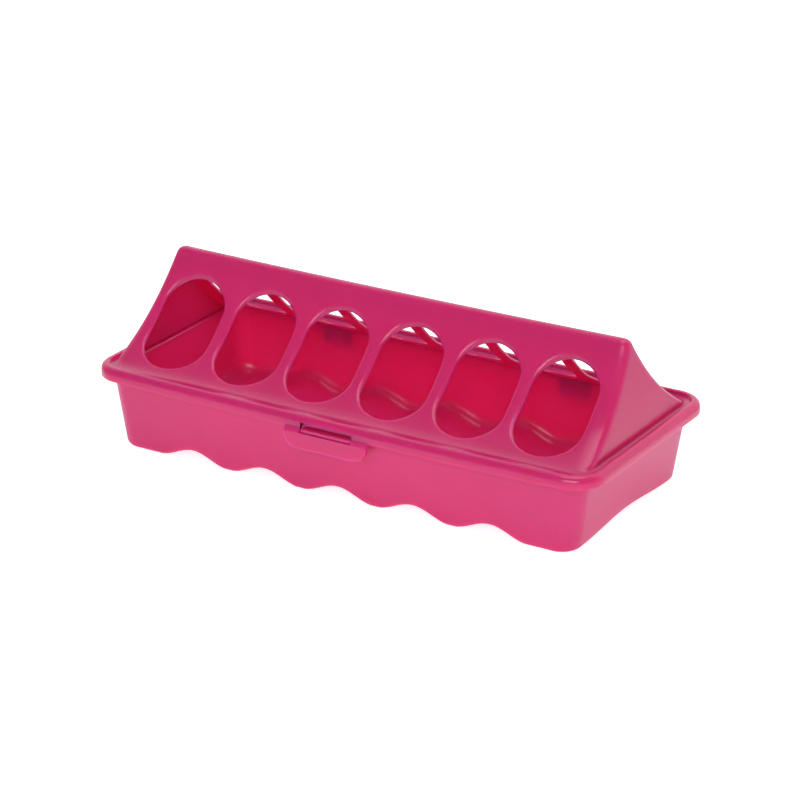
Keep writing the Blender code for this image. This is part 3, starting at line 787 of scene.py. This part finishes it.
def make_tab(material):
    """The latch tab: two legs beside the window, ramping out from the rim, and a sill below it."""
    half, window = TAB_WIDTH / 2, WINDOW_WIDTH / 2
    turn = half - TAB_CORNER_RADIUS
    corner = arc((turn, TAB_BOTTOM + TAB_CORNER_RADIUS), TAB_CORNER_RADIUS, 0, -90, 10)
    legs = sorted({round(x, 7) for x, z in corner} | {window, turn, window + TAB_LEG_COLUMN})
    xs = [-x for x in reversed(legs)] + list(np.linspace(-window, window, 21))[1:-1] + legs

    def bottom(x):
        over = max(0.0, abs(x) - turn)
        return TAB_BOTTOM + TAB_CORNER_RADIUS - math.sqrt(max(0.0, TAB_CORNER_RADIUS ** 2 - over ** 2))

    ramp_top = TAB_ROOT - TAB_RAMP_TOP_DROP
    ramp_foot = WINDOW_BOTTOM - TAB_RAMP_FOOT_DROP

    def face(x, z):
        share = np.clip((ramp_top - z) / (ramp_top - ramp_foot), 0, 1)
        share = share * share * (3 - 2 * share)
        over = max(0.0, z - BEAD_CENTRE)
        curl = BEAD_RADIUS - math.sqrt(BEAD_RADIUS ** 2 - over ** 2)
        hidden = RIM_FACE - SIDE_BOW * (x / RIM_HALF_LENGTH) ** 2 - curl - TAB_SINK
        return lerp(hidden, TAB_FACE, share)

    vertices, index = [], {}
    for skin in (0, 1):
        for c, x in enumerate(xs):
            rows = [lerp(bottom(x), WINDOW_BOTTOM, r / TAB_ROWS) for r in range(TAB_ROWS + 1)]
            if abs(x) >= window - TINY:
                rows += [lerp(WINDOW_BOTTOM, TAB_ROOT, r / TAB_ROWS) for r in range(1, TAB_ROWS + 1)]
            for r, z in enumerate(rows):
                index[(skin, c, r)] = len(vertices)
                vertices.append((x, skin * TAB_THICKNESS - face(x, z), z))
    front = []
    for c in range(len(xs) - 1):
        for r in range(2 * TAB_ROWS):
            corners = [(c, r), (c + 1, r), (c + 1, r + 1), (c, r + 1)]
            in_window = r >= TAB_ROWS and abs(xs[c] + xs[c + 1]) / 2 < window
            if not in_window and all((0, a, b) in index for a, b in corners):
                front.append(corners)
    faces = []
    for corners in front:
        faces.append([index[(0, a, b)] for a, b in corners])
        faces.append([index[(1, a, b)] for a, b in reversed(corners)])
    for one, two in open_sides(front):
        faces.append([index[(0, *two)], index[(0, *one)], index[(1, *one)], index[(1, *two)]])
    tab = make_object("latch_tab_shell", vertices, faces, material, "latch_tab")
    soften(tab, TAB_EDGE_ROUND, 4)
    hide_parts("latch_tab")


def moulded_plastic(name, colour, roughness):
    """Glossy dyed polypropylene with a faint unevenness in its colour, gloss and surface."""
    material = bpy.data.materials.new(name)
    material.use_nodes = True
    nodes, links = material.node_tree.nodes, material.node_tree.links
    shader = nodes["Principled BSDF"]
    shader.inputs["IOR"].default_value = 1.50
    shader.inputs["Subsurface Weight"].default_value = 1.0
    shader.inputs["Subsurface Radius"].default_value = LIGHT_DEPTH_SHARES
    shader.inputs["Subsurface Scale"].default_value = LIGHT_DEPTH
    place = nodes.new("ShaderNodeTexCoord")
    cloud = nodes.new("ShaderNodeTexNoise")
    cloud.inputs["Scale"].default_value = 22
    cloud.inputs["Detail"].default_value = 3
    links.new(place.outputs["Object"], cloud.inputs["Vector"])
    tint = nodes.new("ShaderNodeValToRGB")
    tint.color_ramp.elements[0].position = 0.3
    tint.color_ramp.elements[0].color = (*[c * (1 - TINT_SPREAD) for c in colour], 1)
    tint.color_ramp.elements[1].position = 0.7
    tint.color_ramp.elements[1].color = (*[c * (1 + TINT_SPREAD) for c in colour], 1)
    links.new(cloud.outputs["Fac"], tint.inputs["Fac"])
    links.new(tint.outputs["Color"], shader.inputs["Base Color"])
    gloss = nodes.new("ShaderNodeMapRange")
    gloss.inputs["To Min"].default_value = roughness * (1 - GLOSS_SPREAD)
    gloss.inputs["To Max"].default_value = roughness * (1 + GLOSS_SPREAD)
    links.new(cloud.outputs["Fac"], gloss.inputs["Value"])
    links.new(gloss.outputs["Result"], shader.inputs["Roughness"])
    grain = nodes.new("ShaderNodeTexNoise")
    grain.inputs["Scale"].default_value = 900
    grain.inputs["Detail"].default_value = 2
    links.new(place.outputs["Object"], grain.inputs["Vector"])
    bump = nodes.new("ShaderNodeBump")
    bump.inputs["Strength"].default_value = 0.05
    bump.inputs["Distance"].default_value = GRAIN_DEPTH
    links.new(grain.outputs["Fac"], bump.inputs["Height"])
    links.new(bump.outputs["Normal"], shader.inputs["Normal"])
    return material


def make_floor():
    """White sweep that glows a little, like a light table, and still takes the shadow."""
    bpy.ops.mesh.primitive_plane_add(size=FLOOR_SIZE, location=(0, 0, -FLOOR_DROP))
    floor = bpy.context.object
    floor.name = "floor"
    material = bpy.data.materials.new("floor white")
    material.use_nodes = True
    nodes, links = material.node_tree.nodes, material.node_tree.links
    nodes.remove(nodes["Principled BSDF"])
    paper = nodes.new("ShaderNodeBsdfDiffuse")
    paper.inputs["Color"].default_value = (FLOOR_WHITE, FLOOR_WHITE, FLOOR_WHITE, 1)
    path = nodes.new("ShaderNodeLightPath")
    level = nodes.new("ShaderNodeMapRange")
    level.inputs["To Max"].default_value = FLOOR_GLOW_SEEN
    links.new(path.outputs["Is Camera Ray"], level.inputs["Value"])
    spot = nodes.new("ShaderNodeTexCoord")
    reach = nodes.new("ShaderNodeVectorMath")
    reach.operation = "LENGTH"
    links.new(spot.outputs["Object"], reach.inputs[0])
    pool = nodes.new("ShaderNodeMapRange")
    pool.interpolation_type = "SMOOTHSTEP"
    pool.inputs["From Min"].default_value, pool.inputs["From Max"].default_value = POOL_EDGE
    pool.inputs["To Min"].default_value = FLOOR_GLOW
    pool.inputs["To Max"].default_value = FLOOR_GLOW_FAR
    links.new(reach.outputs["Value"], pool.inputs["Value"])
    links.new(pool.outputs["Result"], level.inputs["To Min"])
    glow = nodes.new("ShaderNodeEmission")
    links.new(level.outputs["Result"], glow.inputs["Strength"])
    both = nodes.new("ShaderNodeAddShader")
    links.new(paper.outputs["BSDF"], both.inputs[0])
    links.new(glow.outputs["Emission"], both.inputs[1])
    links.new(both.outputs["Shader"], nodes["Material Output"].inputs["Surface"])
    floor.data.materials.append(material)


def make_world():
    """White to the camera; to the light, a dim room in front and a bright backdrop behind."""
    world = bpy.data.worlds.new("studio")
    bpy.context.scene.world = world
    world.use_nodes = True
    nodes, links = world.node_tree.nodes, world.node_tree.links
    background = nodes["Background"]
    background.inputs["Color"].default_value = (1, 1, 1, 1)
    place = nodes.new("ShaderNodeTexCoord")
    split = nodes.new("ShaderNodeSeparateXYZ")
    links.new(place.outputs["Generated"], split.inputs["Vector"])
    room = nodes.new("ShaderNodeMapRange")
    room.interpolation_type = "SMOOTHSTEP"
    room.inputs["From Min"].default_value, room.inputs["From Max"].default_value = ROOM_TURN
    room.inputs["To Min"].default_value = ROOM_FRONT
    room.inputs["To Max"].default_value = ROOM_BACK
    links.new(split.outputs["Y"], room.inputs["Value"])
    path = nodes.new("ShaderNodeLightPath")
    choice = nodes.new("ShaderNodeMix")
    links.new(path.outputs["Is Camera Ray"], choice.inputs["Factor"])
    links.new(room.outputs["Result"], choice.inputs["A"])
    choice.inputs["B"].default_value = 1
    links.new(choice.outputs["Result"], background.inputs["Strength"])


def make_light(name, place, size, power):
    data = bpy.data.lights.new(name, "AREA")
    data.shape = "RECTANGLE"
    data.size, data.size_y = size
    data.energy = power
    lamp = bpy.data.objects.new(name, data)
    bpy.context.scene.collection.objects.link(lamp)
    lamp.location = place
    lamp.rotation_euler = (Vector(LIGHT_TARGET) - Vector(place)).to_track_quat("-Z", "Y").to_euler()


def make_camera():
    azimuth, elevation, roll = (math.radians(v) for v in (CAMERA_AZIMUTH, CAMERA_ELEVATION, CAMERA_ROLL))
    forward = Vector((-math.sin(azimuth) * math.cos(elevation), math.cos(azimuth) * math.cos(elevation),
                      -math.sin(elevation)))
    right = forward.cross(Vector((0, 0, 1))).normalized()
    up = right.cross(forward)
    turned = math.cos(roll) * right + math.sin(roll) * up
    upright = math.cos(roll) * up - math.sin(roll) * right
    data = bpy.data.cameras.new("camera")
    data.lens, data.sensor_width = CAMERA_LENS, SENSOR_WIDTH
    camera = bpy.data.objects.new("camera", data)
    bpy.context.scene.collection.objects.link(camera)
    matrix = Matrix((turned, upright, -forward)).transposed().to_4x4()
    matrix.translation = CAMERA_PLACE
    camera.matrix_world = matrix
    bpy.context.scene.camera = camera


make_camera()
tray_plastic = moulded_plastic("tray plastic", *TRAY_PLASTIC)
lid_plastic = moulded_plastic("lid plastic", *LID_PLASTIC)
tab_plastic = moulded_plastic("tab plastic", *TAB_PLASTIC)
make_tray(tray_plastic)
make_catch(tray_plastic)
make_lid(lid_plastic)
make_hinges(tray_plastic, lid_plastic)
make_tab(tab_plastic)
make_floor()
make_world()
for lamp_name, lamp_values in LAMPS.items():
    make_light(lamp_name, *lamp_values)
bpy.context.scene.view_settings.view_transform = "Standard"
